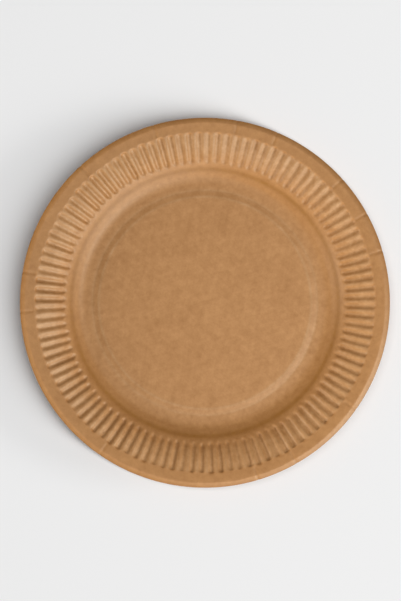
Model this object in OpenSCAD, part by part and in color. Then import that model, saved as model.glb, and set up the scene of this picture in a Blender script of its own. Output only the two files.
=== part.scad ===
// A round paper plate, pressed from one blank of kraft board. A slightly raised centre panel
// lies inside the flat ring that the plate stands on, and radial flutes stiffen the rim.
// Lengths are in millimetres and angles in degrees. The origin is on the table, under the middle.

/* [Plate] */
// Diameter over the lip
plate_diameter = 230; // [180:1:280]
// Thickness of the board
board = 0.5; // [0.4:0.05:0.7]

/* [Centre] */
// Height of the centre panel above the foot ring
panel_rise = 0.85; // [0.6:0.05:1.4]
// Slope of the step from the panel down to the foot ring
step_slope = 14; // [9:1:18]
// Radius of the round at the upper end of the step
step_top_round = 10.5; // [6:0.5:12]
// Radius of the round at the foot of the step
step_foot_round = 5.5; // [3:0.5:8]
// Width of the flat ring that the plate stands on
foot_width = 3.4; // [2:0.1:5]

/* [Wall] */
// Radius of the bend from the foot ring up into the wall
bend_radius = 10; // [7:0.5:16]
// Slope of the wall
wall_slope = 34; // [28:1:40]
// Width of the straight wall, seen from above
wall_width = 9.9; // [8:0.1:13]
// Width of the line pressed all round the wall
crease_width = 3; // [2:0.1:3.4]
// Depth of the pressed line
crease_depth = 0.12; // [0.06:0.02:0.3]
// Distance of the pressed line from the lower end of the wall
crease_inset = 3.6; // [2.5:0.1:4.5]

/* [Rim] */
// Width of the curved rim above the wall, seen from above
rim_width = 16.7; // [13:0.1:22]
// Number of flutes
flute_count = 108; // [72:1:120]
// Depth of a flute at its inner end
flute_depth = 0.95; // [0.5:0.05:1.2]
// Depth of a flute at its outer end
flute_outer_depth = 1.25; // [0.6:0.05:1.4]
// Width of a flute at its inner end
flute_width = 2.4; // [1.8:0.1:2.6]
// Lean of a flute's sides from upright
flute_draft = 27; // [20:1:35]
// Length over which a flute runs out at each end
flute_runout = 2; // [1.4:0.1:3]
// Plain board between the pressed line and the flutes
inner_margin = 1.6; // [1:0.1:2.2]
// Length of the flutes past the curved rim
flute_overhang = 0.5; // [0.2:0.1:1]

/* [Lip] */
// Width of the plain band outside the rim
band_width = 4.8; // [3:0.1:9]
// Slope of the plain band
band_slope = 7; // [4:1:12]
// Width of the lip, seen from above
lip_width = 3.9; // [3:0.1:6]
// Slope of the lip, downwards
lip_slope = 28; // [15:1:45]
// Radius of the bend from the band down into the lip
lip_round = 2.5; // [1.5:0.1:3.5]

/* [Hidden] */
// Overrun of a cut above the board
overrun = 0.3;
// Straight pieces in each curve of the section
step_pieces = 3;
bend_pieces = 6;
rim_pieces = 3;
lip_pieces = 4;
$fn = 216;

// Radii of the section, from the lip inwards
lip_r = plate_diameter / 2;
band_r = lip_r - lip_width;
rim_r = band_r - band_width;
wall_r = rim_r - rim_width;
bend_r = wall_r - wall_width;
foot_r = bend_r - bend_radius * sin(wall_slope);
step_r = foot_r - foot_width;
step_rounds = step_top_round + step_foot_round;
step_straight = (panel_rise - step_rounds * (1 - cos(step_slope))) / tan(step_slope);
panel_r = step_r - step_straight - step_rounds * sin(step_slope);
crease_r = bend_r + crease_inset;

// Radius of the curved rim, which leaves the wall at its slope and meets the band at its own
rim_radius = rim_width / (sin(wall_slope) - sin(band_slope));

// Points of an arc in the section: it leaves start at one slope and ends at another,
// and a hollow curve has a positive radius, a crowned one a negative radius.
function arc(start, from, to, radius, pieces) = [
    for (i = [1:pieces])
        let (a = from + (to - from) * i / pieces)
        start + radius * [sin(a) - sin(from), cos(from) - cos(a)]
];
function last(line) = line[len(line) - 1];
function slope(p, q) = atan2(q[1] - p[1], q[0] - p[0]);
function along(p, width, angle) = p + width * [1, tan(angle)];

// A line that runs at an even distance under another one
function below(line, distance) = [
    for (i = [0:len(line) - 1])
        let (before = slope(line[max(i - 1, 0)], line[max(i, 1)]))
        let (after = slope(line[min(i, len(line) - 2)], line[min(i + 1, len(line) - 1)]))
        let (mean = (before + after) / 2)
        line[i] + distance / cos((after - before) / 2) * [sin(mean), -cos(mean)]
];
function reversed(line) = [for (i = [len(line) - 1:-1:0]) line[i]];

// Upper side of the board, from the middle of the plate out to the lip's edge
panel_edge = [panel_r, board + panel_rise];
step_top = arc(panel_edge, 0, -step_slope, -step_top_round, step_pieces);
step_foot = along(last(step_top), step_straight, -step_slope);
step_end = arc(step_foot, -step_slope, 0, step_foot_round, step_pieces);
foot_end = [foot_r, board];
bend = arc(foot_end, 0, wall_slope, bend_radius, bend_pieces);
crease_mid = along(last(bend), crease_inset, wall_slope);
crease = [
    along(crease_mid, -crease_width / 2, wall_slope),
    crease_mid - [0, crease_depth],
    along(crease_mid, crease_width / 2, wall_slope)
];
wall_end = along(last(bend), wall_width, wall_slope);
rim = arc(wall_end, wall_slope, band_slope, -rim_radius, rim_pieces);
band_end = along(last(rim), band_width, band_slope);
lip_bend = arc(band_end, band_slope, -lip_slope, -lip_round, lip_pieces);
lip_edge = along(last(lip_bend), lip_r - last(lip_bend)[0], -lip_slope);
centre_line = concat([[0, board + panel_rise], panel_edge], step_top, [step_foot], step_end, [foot_end]);
upper_line = concat(centre_line, bend, crease, [wall_end], rim, [band_end], lip_bend, [lip_edge]);

// The flutes lie between two circles, from the wall over the curved rim, and deepen outwards.
flute_in = crease_r + crease_width / 2 + inner_margin;
flute_out = rim_r + flute_overhang;
flute_line = concat([last(crease), wall_end], rim, [band_end]);
function on_rim(r) = [r, lookup(r, flute_line)];
function depth(r) = flute_depth + (flute_outer_depth - flute_depth) * (r - flute_in) / (flute_out - flute_in);
floor_in = on_rim(flute_in + flute_runout) - [0, flute_depth];
floor_out = on_rim(flute_out - flute_runout) - [0, flute_outer_depth];
rim_mid = [for (p = flute_line) if (p[0] > floor_in[0] && p[0] < floor_out[0]) p];
floor_mid = [for (p = rim_mid) p - [0, depth(p[0])]];
flute_floor = concat([floor_in], floor_mid, [floor_out]);

// Chord of the rim between the flutes' ends, and how far the rim bulges above it
chord_slope = slope(on_rim(flute_in), on_rim(flute_out));
function on_chord(r) = along(on_rim(flute_in), r - flute_in, chord_slope);
bulge = max([for (p = rim_mid) p[1] - on_chord(p[0])[1]]);

// Floor of the flutes, with its run-outs carried past the board by a height
function floor_past(height) = concat(
    [on_rim(flute_in) + (on_rim(flute_in) - floor_in) * height / flute_depth],
    flute_floor,
    [on_rim(flute_out) + (on_rim(flute_out) - floor_out) * height / flute_outer_depth]
);

// Wedges round the rim, one for each flute: the sides lean out at the draft and meet in a
// line below, the gap widens every wedge evenly, and the reach is its height above the chord.
module wedges(gap, reach) {
    half_share = flute_width / 2 / flute_in;
    ends = [flute_in - flute_runout / 2, flute_out + flute_runout / 2];
    function half(r) = r * half_share + gap / cos(flute_draft);
    function ridge(r) = [r, 0, on_chord(r)[1] - half(r) / tan(flute_draft)];
    function corner(r, hand) = [r, hand * (half(r) + reach * tan(flute_draft)), on_chord(r)[1] + reach];
    points = [for (r = ends) each [ridge(r), corner(r, -1), corner(r, 1)]];
    for (i = [0:flute_count - 1])
        rotate([0, 0, i * 360 / flute_count])
            polyhedron(points, [[0, 2, 1], [3, 4, 5], [1, 2, 5, 4], [0, 1, 4, 3], [2, 0, 3, 5]]);
}

// The board pressed into a dish, without its flutes
module dish() {
    rotate_extrude()
        polygon(concat(upper_line, reversed(below(upper_line, board))));
}

// Under each flute the board stands out below the dish.
module flute_undersides() {
    under = below(floor_past(board / 2), board);
    inside = below(rim_mid, board / 2);
    intersection() {
        rotate_extrude()
            polygon(concat(under, reversed(inside)));
        wedges(board, bulge);
    }
}

// The flutes pressed into the upper side
module flute_hollows() {
    cap = last(rim)[1] + bulge;
    past = floor_past(overrun);
    intersection() {
        rotate_extrude()
            polygon(concat(past, [[last(past)[0], cap], [past[0][0], cap]]));
        wedges(0, bulge + overrun);
    }
}

// The plate is one piece of board.
module plate() {
    color([0.71, 0.52, 0.35])
        difference() {
            union() {
                dish();
                flute_undersides();
            }
            flute_hollows();
        }
}

plate();
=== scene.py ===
import math

import bpy
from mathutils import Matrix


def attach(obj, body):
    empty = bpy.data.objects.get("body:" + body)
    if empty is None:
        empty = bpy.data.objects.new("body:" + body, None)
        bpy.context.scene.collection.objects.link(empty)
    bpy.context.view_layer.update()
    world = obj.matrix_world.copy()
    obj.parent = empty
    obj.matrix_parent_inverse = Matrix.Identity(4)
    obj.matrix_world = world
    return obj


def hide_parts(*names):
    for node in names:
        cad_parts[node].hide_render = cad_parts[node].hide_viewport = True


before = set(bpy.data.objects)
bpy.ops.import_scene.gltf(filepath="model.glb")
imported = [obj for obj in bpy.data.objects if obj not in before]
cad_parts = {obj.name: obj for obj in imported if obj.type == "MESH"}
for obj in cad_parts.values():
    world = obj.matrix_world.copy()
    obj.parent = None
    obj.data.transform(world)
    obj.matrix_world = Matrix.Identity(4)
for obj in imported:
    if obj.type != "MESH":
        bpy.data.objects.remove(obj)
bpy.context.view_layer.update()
scene = bpy.context.scene

# The board's section: one round blank of kraft board is pressed between two hot dies, and this is
# the line of its upper side from the middle out to the edge. Panel, step, foot ring, bend, wall,
# rim, band and lip follow each other, with short pieces wherever the line bends.
MM = 0.001
BOARD = 0.5 * MM
PANEL_RISE = 0.8 * MM
FOOT_WIDTH = 3.4 * MM
WALL_WIDTH = 9.9 * MM
RIM_WIDTH = 16.7 * MM
BAND_WIDTH = 5.2 * MM
LIP_WIDTH = 3.5 * MM
STEP_SLOPE = math.radians(-12.5)
WALL_SLOPE = math.radians(34)
BAND_SLOPE = math.radians(7)
LIP_SLOPE = math.radians(-20)
STEP_TOP_ROUND = 10.5 * MM
STEP_FOOT_ROUND = 5.5 * MM
BEND_ROUND = 10.0 * MM
LIP_ROUND = 2.5 * MM
LIP_R = 115.0 * MM
BAND_R = LIP_R - LIP_WIDTH
RIM_R = BAND_R - BAND_WIDTH
WALL_R = RIM_R - RIM_WIDTH
BEND_R = WALL_R - WALL_WIDTH
FLUTE_OUT = RIM_R + 0.5 * MM
FLUTE_RUNOUT = 2.8 * MM
FLUTE_TIP = 2.0 * MM
PANEL_EDGE_PIECES = (1.6 * MM, 0.6 * MM)
FOOT_PIECES = (0.5 * MM, 2.4 * MM, 0.5 * MM)
CREASE_PIECES = (1.2 * MM, *[0.96 * MM] * 5, 0.4 * MM)
RUNOUT_PIECES = [FLUTE_RUNOUT / 4] * 4
BAND_PIECES = (0.5 * MM, 0.5 * MM, 3.7 * MM, 0.5 * MM)
LIP_EDGE_PIECE = 0.9 * MM

section = [(0.0, BOARD + PANEL_RISE, 0.0)]


def run(slope, *widths):
    """Carries the section on in a straight line, with a point after each width."""
    for width in widths:
        r, z, _ = section[-1]
        section.append((r + width, z + width * math.tan(slope), slope))


def turn(radius, slope, pieces):
    """Carries the section on in an arc that ends at the slope given."""
    r, z, at = section[-1]
    bow = math.copysign(radius, slope - at)
    for k in range(1, pieces + 1):
        a = at + (slope - at) * k / pieces
        along = bow * (math.sin(a) - math.sin(at))
        up = bow * (math.cos(at) - math.cos(a))
        section.append((r + along, z + up, a))


foot_r = BEND_R - BEND_ROUND * math.sin(WALL_SLOPE)
step_rounds = STEP_TOP_ROUND + STEP_FOOT_ROUND
step_straight = (PANEL_RISE - step_rounds * (1 - math.cos(STEP_SLOPE))) / math.tan(-STEP_SLOPE)
panel_r = foot_r - FOOT_WIDTH - step_straight - step_rounds * math.sin(-STEP_SLOPE)
third = panel_r / 3
run(0.0, third, third, third - sum(PANEL_EDGE_PIECES), *PANEL_EDGE_PIECES)
turn(STEP_TOP_ROUND, STEP_SLOPE, 4)
run(STEP_SLOPE, step_straight)
turn(STEP_FOOT_ROUND, 0.0, 3)
run(0.0, *FOOT_PIECES)
turn(BEND_ROUND, WALL_SLOPE, 6)
run(WALL_SLOPE, *CREASE_PIECES, *RUNOUT_PIECES)
run(WALL_SLOPE, WALL_R - section[-1][0])
rim_round = (RIM_R - WALL_R) / (math.sin(WALL_SLOPE) - math.sin(BAND_SLOPE))
tip_slope = math.asin(math.sin(WALL_SLOPE) - (FLUTE_OUT - FLUTE_TIP - WALL_R) / rim_round)
turn(rim_round, tip_slope, 8)
turn(rim_round, BAND_SLOPE, 4)
run(BAND_SLOPE, *BAND_PIECES)
turn(LIP_ROUND, LIP_SLOPE, 4)
lip_straight = LIP_R - section[-1][0]
run(LIP_SLOPE, lip_straight - LIP_EDGE_PIECE, LIP_EDGE_PIECE)

line = bpy.data.meshes.new("plate")
points = [(r, 0, z) for r, z, _ in section]
line.from_pydata(points, [(k, k + 1) for k in range(len(points) - 1)], [])
slopes = [slope for _, _, slope in section]
line.attributes.new("slope", "FLOAT", "POINT").data.foreach_set("value", slopes)
plate = bpy.data.objects.new("plate_board", line)
scene.collection.objects.link(plate)

# Small folds in the lip: where the spare board outside the flutes had nowhere to go, the press
# left short sharp folds across the plain band and the lip. They lie where the photograph shows
# them, and each is a mark on the band until the plate is pressed.
FOLD_ANGLES = (-34, -59, -72, -123.5, -176, -188.5, -226.5, -252.5, -279, -292, -317, -330, -342.5)
marks = bpy.data.meshes.new("lip_folds")
fold_turns = [math.radians(a) for a in FOLD_ANGLES]
marks.from_pydata([(BAND_R * math.cos(a), BAND_R * math.sin(a), 0) for a in fold_turns], [], [])
folds = bpy.data.objects.new("lip_folds", marks)
scene.collection.objects.link(folds)

# Kraft board: unbleached brown board, uncoated, with a slight sheen. Long fibres lie every way in
# it and clot into a soft mottle with a few darker specks. Rings of painted shade make it darker
# along the crease, the band and the lip, and rings of painted highlight make it paler and greyer
# on the step and the flutes; along the crease the darkening is partly the board's press tone.
DARK_PULP = (0.236, 0.082, 0.008, 1)
PALE_PULP = (0.56, 0.286, 0.109, 1)
PLAIN = (1, 1, 1, 1)
# Tints for the rings: darker and warmer for painted shade and press tone, paler and greyer for
# painted highlight.
PRESS_AND_SHADE_TINT = (0.84, 0.79, 0.62, 1)
PAINTED_HIGHLIGHT_TINT = (1.05, 1.2, 1.52, 1)
SHEEN = (1.0, 1.0, 0.85, 1)
MIDDLE_TONE = 0.5
CLOUD_RAGGED = 0.55
FIBRE_STRETCH = (5, 1, 1)
FIBRE_TURNS = (0.3, 1.35, 2.4)
SPECK_SCALE = 260.0
SPECK_CORE = 0.03
SPECK_EDGE = 0.10
MARK_BREAKUP = 0.9
GRAIN_RELIEF = 0.6
FELT_RELIEF = 0.4
TOOTH_STRENGTH = 0.25
TOOTH_HEIGHT = 0.1 * MM


def place(tree, kind, feeds=(), **settings):
    """Adds a node with its settings, and feeds its sockets with values or other nodes' outputs."""
    made = tree.nodes.new(kind)
    for name, value in settings.items():
        setattr(made, name, value)
    for socket, value in dict(feeds).items():
        if isinstance(value, bpy.types.NodeSocket):
            tree.links.new(value, made.inputs[socket])
        else:
            made.inputs[socket].default_value = value
    return made


def worked(tree, operation, *values):
    """The output of a Math node over its values."""
    return place(tree, "ShaderNodeMath", enumerate(values), operation=operation).outputs[0]


kraft = bpy.data.materials.new("kraft_board")
kraft.use_nodes = True
pulp = kraft.node_tree
pulp.nodes.clear()
on_board = place(pulp, "ShaderNodeTexCoord").outputs["Object"]


def cloud(scale, detail, stretch=(1, 1, 1), twist=0.0):
    """Soft noise about a middle of zero, stretched and turned where it stands for fibres."""
    feeds = {"Vector": on_board, "Rotation": (0, 0, twist), "Scale": stretch}
    turned = place(pulp, "ShaderNodeMapping", feeds, vector_type="TEXTURE").outputs[0]
    feeds = {"Vector": turned, "Scale": scale, "Detail": detail, "Roughness": CLOUD_RAGGED}
    noise = place(pulp, "ShaderNodeTexNoise", feeds).outputs["Fac"]
    return worked(pulp, "SUBTRACT", noise, 0.5)


grain = cloud(scale=900, detail=3)
fibres = [cloud(scale=420, detail=2, stretch=FIBRE_STRETCH, twist=a) for a in FIBRE_TURNS]
felt = worked(pulp, "ADD", worked(pulp, "ADD", fibres[0], fibres[1]), fibres[2])
feeds = {"Vector": on_board, "Scale": SPECK_SCALE, "Randomness": 1.0}
near = place(pulp, "ShaderNodeTexVoronoi", feeds).outputs["Distance"]
feeds = {0: near, 1: SPECK_CORE, 2: SPECK_EDGE, 3: 1.0, 4: 0.0}
speck = place(pulp, "ShaderNodeMapRange", feeds).outputs[0]
mottle = (
    (grain, 0.18),
    (cloud(scale=330, detail=2), 0.34),
    (cloud(scale=140, detail=2), 0.16),
    (cloud(scale=45, detail=1), 0.12),
    (felt, 0.24),
    (speck, -0.10),
)
tone = MIDDLE_TONE
for layer, strength in mottle:
    tone = worked(pulp, "MULTIPLY_ADD", layer, strength, tone)
feeds = {0: tone, 6: DARK_PULP, 7: PALE_PULP}
shade = place(pulp, "ShaderNodeMix", feeds, data_type="RGBA").outputs[2]

# The rings of painted shade (above zero) and painted highlight (below zero), broken up by the
# felt.
press_and_shade_mark = place(pulp, "ShaderNodeAttribute", attribute_name="pressed").outputs["Fac"]
breakup = worked(pulp, "MULTIPLY_ADD", felt, MARK_BREAKUP, 1.0)
press_and_shade_mark = worked(pulp, "MULTIPLY", press_and_shade_mark, breakup)
# Painted shade darkens and warms the board, and painted highlight makes it paler and greyer.
darker = worked(pulp, "MAXIMUM", press_and_shade_mark, 0.0)
greyer = worked(pulp, "MAXIMUM", worked(pulp, "MULTIPLY", press_and_shade_mark, -1.0), 0.0)
for amount, tint in ((darker, PRESS_AND_SHADE_TINT), (greyer, PAINTED_HIGHLIGHT_TINT)):
    feeds = {0: amount, 6: PLAIN, 7: tint}
    stain = place(pulp, "ShaderNodeMix", feeds, data_type="RGBA", clamp_factor=False).outputs[2]
    feeds = {0: shade, 1: stain}
    shade = place(pulp, "ShaderNodeVectorMath", feeds, operation="MULTIPLY").outputs[0]

relief = worked(pulp, "MULTIPLY", felt, FELT_RELIEF)
relief = worked(pulp, "MULTIPLY_ADD", grain, GRAIN_RELIEF, relief)
feeds = {"Height": relief, "Strength": TOOTH_STRENGTH, "Distance": TOOTH_HEIGHT}
tooth = place(pulp, "ShaderNodeBump", feeds).outputs[0]
finish = {
    "Base Color": shade,
    "Normal": tooth,
    "Roughness": 0.5,
    "Specular IOR Level": 0.7,
    "Specular Tint": SHEEN,
}
skin = place(pulp, "ShaderNodeBsdfPrincipled", finish).outputs[0]
place(pulp, "ShaderNodeOutputMaterial", {"Surface": skin})

# The pressed plate: the section is swept round the plate's axis. The spare board of the rim is
# gathered into flutes, soft waves that widen and deepen outwards, and the board keeps one
# thickness down to its underside, with a cut edge all round.
STEP_R = panel_r + 0.9 * MM
CREASE_R = BEND_R + 3.6 * MM
FLUTE_IN = CREASE_R + 2.8 * MM
FLUTE_WANDER = 0.12
FLUTE_STRAY = 1.6 * MM
FOLD_START = 1.0 * MM
WARP_SCALE = 22.0
WARP_POWER = 3.0
WELD = 0.001 * MM
CUT_ANGLE = math.radians(55)

# Rings of tone round the plate: radius, width in millimetres, and strength, which is above zero
# where the board is painted darker and below zero where it is painted paler and greyer. The paler
# rings on the step and the flutes are painted highlight; the darker ones at the line by the band,
# on the band and at the lip's edge are painted shade; at the bend and the crease the darkening is
# partly the board's press tone and partly painted shade.
PRESS_AND_SHADE_MARKS = (
    (STEP_R, 0.8, -0.66),  # top of the step
    (STEP_R + 4.0 * MM, 0.9, -0.52),  # foot of the step
    (BEND_R - 1.0 * MM, 4.0, 0.32),  # bend into the wall
    (CREASE_R, 1.6, 1.4),  # crease
    (RIM_R - 13.0 * MM, 4.0, -0.27),  # inner half of the flutes
    (RIM_R - 6.0 * MM, 5.5, -0.5),  # outer half of the flutes
    (FLUTE_OUT - 2.4 * MM, 1.3, -0.3),  # outer tips of the flutes
    (FLUTE_OUT, 0.9, 0.46),  # line between flutes and band
    (BAND_R - 2.1 * MM, 2.6, 0.52),  # plain band
    # The dark ring at the lip's edge is painted shade where the lip turns under.
    (LIP_R, 1.2, 1.5),  # cut edge of the lip
)
SIZES = {
    "Flutes": 108,
    "Steps in a flute": 8,
    "Inner flute depth": 1.06 * MM,
    "Outer flute depth": 1.40 * MM,
    "Flute start": FLUTE_IN,
    "Flute end": FLUTE_OUT,
    "Run-out": FLUTE_RUNOUT,
    "Point": 1.35,
    "Outer run-out": 2.7 * MM,
    "Groove share": 0.96,
    "Flat share": 0.14,
    "Unevenness": 0.27,
    "Crease radius": CREASE_R,
    "Crease width": 2.2 * MM,
    "Crease depth": 0.11 * MM,
    "Fold depth": 0.45 * MM,
    "Fold width": 1.1 * MM,
    "Warp": 0.25 * MM,
    "Board": BOARD,
    "Seed": 7,
    "Folds": folds,
    "Material": kraft,
}
SOCKETS = {
    int: "NodeSocketInt",
    float: "NodeSocketFloat",
    bpy.types.Object: "NodeSocketObject",
    bpy.types.Material: "NodeSocketMaterial",
}
press = bpy.data.node_groups.new("Pressed plate", "GeometryNodeTree")
press.is_modifier = True
press.interface.new_socket("Geometry", in_out="INPUT", socket_type="NodeSocketGeometry")
press.interface.new_socket("Geometry", in_out="OUTPUT", socket_type="NodeSocketGeometry")
identifiers = {}
for name, value in SIZES.items():
    socket = press.interface.new_socket(name, in_out="INPUT", socket_type=SOCKETS[type(value)])
    identifiers[name] = socket.identifier
given = press.nodes.new("NodeGroupInput").outputs


def calc(operation, *values):
    """The output of a Math node in the plate's tree."""
    return worked(press, operation, *values)


def ease(value, low, high, start, end):
    """Eases from one value to another between two limits."""
    feeds = {0: value, 1: low, 2: high, 3: start, 4: end}
    return place(press, "ShaderNodeMapRange", feeds, interpolation_type="SMOOTHSTEP").outputs[0]


def bell(value, middle, width):
    """A soft ridge of height one round a middle value."""
    away = calc("DIVIDE", calc("SUBTRACT", value, middle), width)
    return calc("EXPONENT", calc("MULTIPLY", calc("MULTIPLY", away, away), -1.0))


def chance(flute, draw):
    """A random value for each flute, as large as the unevenness either way."""
    feeds = {2: -1.0, 3: 1.0, 7: flute, 8: calc("ADD", given["Seed"], draw)}
    roll = place(press, "FunctionNodeRandomValue", feeds, data_type="FLOAT").outputs[1]
    return calc("MULTIPLY", roll, given["Unevenness"])


def attribute(name, data_type):
    """Reads an attribute by its name."""
    read = {"Name": name}
    made = place(press, "GeometryNodeInputNamedAttribute", read, data_type=data_type)
    return made.outputs["Attribute"]


def stored(geometry, name, value, data_type):
    """Stores a value at each point of a mesh under a name."""
    feeds = {"Geometry": geometry, "Name": name, "Value": value}
    kind = "GeometryNodeStoreNamedAttribute"
    return place(press, kind, feeds, data_type=data_type, domain="POINT").outputs[0]


def welded(geometry):
    """Joins the points of a mesh that lie on each other."""
    feeds = {"Geometry": geometry, "Distance": WELD}
    return place(press, "GeometryNodeMergeByDistance", feeds).outputs[0]


# A flat sheet has one row for each point of the section, and one column for each step round.
counted = place(press, "GeometryNodeAttributeDomainSize", {0: given["Geometry"]}, component="MESH")
around = calc("MULTIPLY", given["Flutes"], given["Steps in a flute"])
columns = calc("ADD", around, 1)
feeds = {
    "Size X": 1.0,
    "Size Y": 1.0,
    "Vertices X": counted.outputs["Point Count"],
    "Vertices Y": columns,
}
sheet = place(press, "GeometryNodeMeshGrid", feeds).outputs["Mesh"]
index = place(press, "GeometryNodeInputIndex").outputs[0]
ring = calc("FLOOR", calc("DIVIDE", calc("ADD", index, 0.5), columns))
column = calc("SUBTRACT", index, calc("MULTIPLY", ring, columns))
way_round = calc("DIVIDE", column, around)
angle = calc("MULTIPLY", way_round, 2 * math.pi)


def on_section(value, data_type):
    """A value read from the section at the sheet's row."""
    feeds = {"Geometry": given["Geometry"], "Index": ring, "Value": value}
    made = place(press, "GeometryNodeSampleIndex", feeds, data_type=data_type, clamp=True)
    return made.outputs[0]


spot = place(press, "GeometryNodeInputPosition").outputs[0]
section_spot = on_section(spot, "FLOAT_VECTOR")
lean = on_section(attribute("slope", "FLOAT"), "FLOAT")
split = place(press, "ShaderNodeSeparateXYZ", {0: section_spot}).outputs
radius = split["X"]
rise = split["Z"]

# Each flute has a place, two ends and a depth of its own. It starts in a point and ends blunt.
turns = calc("MULTIPLY", way_round, given["Flutes"])
nearest = calc("ROUND", turns)
flute = calc("FLOORED_MODULO", nearest, given["Flutes"])
off = calc("MULTIPLY_ADD", chance(flute, 1), FLUTE_WANDER, calc("SUBTRACT", turns, nearest))
across = calc("DIVIDE", calc("ABSOLUTE", off), calc("MULTIPLY", given["Groove share"], 0.5))
inner = calc("ADD", given["Flute start"], given["Run-out"])
inner = calc("MULTIPLY_ADD", chance(flute, 2), FLUTE_STRAY, inner)
outer = calc("SUBTRACT", given["Flute end"], given["Outer run-out"])
outer = calc("MULTIPLY_ADD", chance(flute, 3), FLUTE_STRAY, outer)
short = calc("DIVIDE", calc("SUBTRACT", inner, radius), given["Run-out"])
over = calc("DIVIDE", calc("SUBTRACT", radius, outer), given["Outer run-out"])
blunt = calc("POWER", calc("MAXIMUM", over, 0.0), 2.0)
blunt = calc("SQRT", calc("MULTIPLY_ADD", across, across, blunt))
tapered = calc("POWER", calc("MAXIMUM", short, 0.0), given["Point"])
reach = calc("ADD", calc("POWER", blunt, given["Point"]), tapered)
reach = calc("POWER", reach, calc("DIVIDE", 1.0, given["Point"]))
groove = ease(reach, given["Flat share"], calc("SUBTRACT", 1.0, given["Flat share"]), 1.0, 0.0)
feeds = {
    0: radius,
    1: given["Flute start"],
    2: given["Flute end"],
    3: given["Inner flute depth"],
    4: given["Outer flute depth"],
}
deep = place(press, "ShaderNodeMapRange", feeds).outputs[0]
deep = calc("MULTIPLY", deep, calc("ADD", chance(flute, 4), 1.0))
sink = calc("MULTIPLY", groove, deep)

# The crease runs all round the wall, the folds cross the band, and the free rim warps a little.
crease = bell(radius, given["Crease radius"], given["Crease width"])
sink = calc("MULTIPLY_ADD", crease, given["Crease depth"], sink)
band_x = calc("MULTIPLY", calc("COSINE", angle), BAND_R)
band_y = calc("MULTIPLY", calc("SINE", angle), BAND_R)
on_band = place(press, "ShaderNodeCombineXYZ", {0: band_x, 1: band_y}).outputs[0]
fold_marks = place(press, "GeometryNodeObjectInfo", {0: given["Folds"]}).outputs["Geometry"]
feeds = {0: fold_marks, "Sample Position": on_band}
gap = place(press, "GeometryNodeProximity", feeds, target_element="POINTS").outputs["Distance"]
outside = ease(radius, RIM_R, RIM_R + FOLD_START, 0.0, 1.0)
fold = calc("MULTIPLY", ease(gap, 0.0, given["Fold width"], 1.0, 0.0), outside)
sink = calc("MULTIPLY_ADD", fold, given["Fold depth"], sink)
feeds = {"Vector": on_band, "Scale": WARP_SCALE, "Detail": 1.0}
swell = place(press, "ShaderNodeTexNoise", feeds).outputs[0]
loose = calc("POWER", calc("DIVIDE", radius, LIP_R), WARP_POWER)
lift = calc("MULTIPLY", calc("SUBTRACT", swell, 0.5), given["Warp"])
lift = calc("MULTIPLY", lift, loose)

# The sheet is bent into the dish, closed where it meets itself, and given its thickness.
sunk_r = calc("MULTIPLY_ADD", calc("SINE", lean), sink, radius)
sunk_z = calc("SUBTRACT", rise, calc("MULTIPLY", calc("COSINE", lean), sink))
feeds = {
    0: calc("MULTIPLY", sunk_r, calc("COSINE", angle)),
    1: calc("MULTIPLY", sunk_r, calc("SINE", angle)),
    2: calc("ADD", sunk_z, lift),
}
spun = place(press, "ShaderNodeCombineXYZ", feeds).outputs[0]
# The rings of painted shade and painted highlight are summed and stored on the sheet.
pressed = 0.0
for middle, width, strength in PRESS_AND_SHADE_MARKS:
    pressed = calc("MULTIPLY_ADD", bell(radius, middle, width * MM), strength, pressed)
marked = stored(sheet, "pressed", pressed, "FLOAT")
marked = stored(marked, "spun", spun, "FLOAT_VECTOR")
feeds = {"Geometry": marked, "Position": attribute("spun", "FLOAT_VECTOR")}
dished = place(press, "GeometryNodeSetPosition", feeds).outputs[0]
feeds = {"Geometry": dished, "Name": "spun"}
upper = welded(place(press, "GeometryNodeRemoveAttribute", feeds).outputs[0])
down = calc("MULTIPLY", given["Board"], -1.0)
feeds = {"Mesh": upper, "Offset Scale": down, "Individual": False}
lower = place(press, "GeometryNodeExtrudeMesh", feeds, mode="FACES").outputs["Mesh"]
lower = place(press, "GeometryNodeFlipFaces", {0: lower}).outputs[0]
both = place(press, "GeometryNodeJoinGeometry")
press.links.new(lower, both.inputs[0])
press.links.new(upper, both.inputs[0])
shell = welded(both.outputs[0])
feeds = {0: shell, 2: True}
smooth = place(press, "GeometryNodeSetShadeSmooth", feeds, domain="FACE").outputs[0]
bent = place(press, "GeometryNodeInputMeshEdgeAngle").outputs[0]
feeds = {0: bent, 1: CUT_ANGLE}
sharp = place(press, "FunctionNodeCompare", feeds, operation="GREATER_THAN").outputs[0]
feeds = {0: smooth, 1: sharp, 2: False}
crisp = place(press, "GeometryNodeSetShadeSmooth", feeds, domain="EDGE").outputs[0]
real = place(press, "GeometryNodeRealizeInstances", {0: crisp}).outputs[0]
feeds = {"Geometry": real, "Material": given["Material"]}
coated = place(press, "GeometryNodeSetMaterial", feeds).outputs[0]
place(press, "NodeGroupOutput", {0: coated})

pressing = plate.modifiers.new("pressed", "NODES")
pressing.node_group = press
for name, value in SIZES.items():
    pressing[identifiers[name]] = value
bpy.context.view_layer.update()
evaluated = plate.evaluated_get(bpy.context.evaluated_depsgraph_get())
shaped = bpy.data.meshes.new_from_object(evaluated)
plate.modifiers.remove(pressing)
plate.data = shaped
bpy.data.objects.remove(folds)
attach(plate, "root")
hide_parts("plate")

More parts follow.
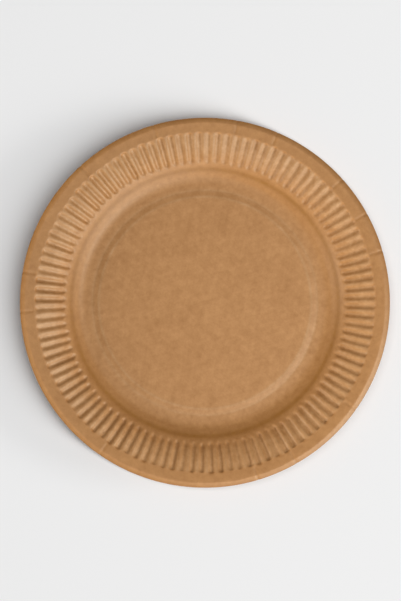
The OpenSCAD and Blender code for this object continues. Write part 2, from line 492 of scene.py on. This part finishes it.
# Floor: a plain pale matt table top, wide enough to fill the view, which takes the plate's shadow.
# It lies a hair below the foot ring, so that the board doesn't cut into it.
FLOOR_GREY = 0.87
FLOOR_HALF = 3.0
FLOOR_Z = -0.02 * MM
floor_mesh = bpy.data.meshes.new("floor")
quarters = ((-1, -1), (1, -1), (1, 1), (-1, 1))
corners = [(x * FLOOR_HALF, y * FLOOR_HALF, FLOOR_Z) for x, y in quarters]
floor_mesh.from_pydata(corners, [], [(0, 1, 2, 3)])
floor = bpy.data.objects.new("floor", floor_mesh)
scene.collection.objects.link(floor)
pale = bpy.data.materials.new("pale_floor")
pale.use_nodes = True
top = pale.node_tree.nodes["Principled BSDF"].inputs
top["Base Color"].default_value = (FLOOR_GREY, FLOOR_GREY, FLOOR_GREY, 1)
top["Roughness"].default_value = 0.9
floor_mesh.materials.append(pale)

# Light: soft lamps stand round the plate and model its flutes, a key and a front lamp on the near
# right, low ones on the left and high ones that fill in. Two lamps on the right light only the
# table top, so that the plate's shadow lies on the left, and the surround is faint.
SURROUND = 0.08
plate_side = bpy.data.collections.new("plate_side")
plate_side.objects.link(plate)
floor_side = bpy.data.collections.new("floor_side")
floor_side.objects.link(floor)


def lamp(name, lit, toward, height, away, wide, tall, watts, glossy):
    """A soft lamp that looks at the plate and lights one collection, with or without gloss.

    Its direction and height are in degrees, and its distance and sides in metres.
    """
    data = bpy.data.lights.new(name, "AREA")
    data.shape = "RECTANGLE"
    data.size = wide
    data.size_y = tall
    data.energy = watts
    made = bpy.data.objects.new(name, data)
    a = math.radians(toward)
    e = math.radians(height)
    level = away * math.cos(e)
    made.location = (level * math.cos(a), level * math.sin(a), away * math.sin(e))
    made.rotation_euler = (math.pi / 2 - e, 0, a + math.pi / 2)
    made.visible_glossy = glossy
    made.light_linking.receiver_collection = lit
    scene.collection.objects.link(made)


lamp("key_lamp", plate_side, -30, 45, 0.95, 0.475, 0.475, 5.6, True)
lamp("front_lamp", plate_side, -64, 25, 1.2, 1.0, 1.0, 8.8, True)
lamp("left_lamp", plate_side, -165, 10, 2.4, 0.8, 0.8, 19.0, True)
lamp("left_fill_lamp", plate_side, -165, 10, 2.4, 0.8, 0.8, 17.0, False)
lamp("low_back_lamp", plate_side, 150, 10, 1.2, 0.4, 0.4, 2.4, False)
lamp("high_left_lamp", plate_side, -120, 65, 1.2, 1.0, 1.0, 4.5, False)
lamp("high_back_lamp", plate_side, 60, 65, 1.2, 1.0, 1.0, 2.5, False)
lamp("tall_floor_lamp", floor_side, -27, 60, 5.0, 0.88, 12.0, 398.0, True)
lamp("low_floor_lamp", floor_side, -5, 15, 5.0, 1.8, 0.9, 95.0, True)
world = bpy.data.worlds.new("surround")
scene.world = world
world.use_nodes = True
backdrop = world.node_tree.nodes["Background"].inputs
backdrop["Color"].default_value = (1, 1, 1, 1)
backdrop["Strength"].default_value = SURROUND

# Camera: it looks straight down from far off, as the photograph does. The plate lies a little
# right of and below the middle of the picture, whose flutes are turned by a small angle.
WIDE = 401
TALL = 601
PLATE_X = 205.0
PLATE_Y = 302.67
PLATE_RADIUS = 185.03
PER_PX = LIP_R / PLATE_RADIUS
EYE = 4.0
ROLL = math.radians(1.2)
SENSOR = 36.0
lip_z = max(z for _, z, _ in section)
view = bpy.data.cameras.new("camera")
view.sensor_fit = "VERTICAL"
view.sensor_height = SENSOR
view.lens = SENSOR * (EYE - lip_z) / (TALL * PER_PX)
camera = bpy.data.objects.new("camera", view)
camera.rotation_euler = (0, 0, ROLL)
camera.location = ((WIDE / 2 - PLATE_X) * PER_PX, (PLATE_Y - TALL / 2) * PER_PX, EYE)
scene.collection.objects.link(camera)
scene.camera = camera
scene.view_settings.view_transform = "Standard"
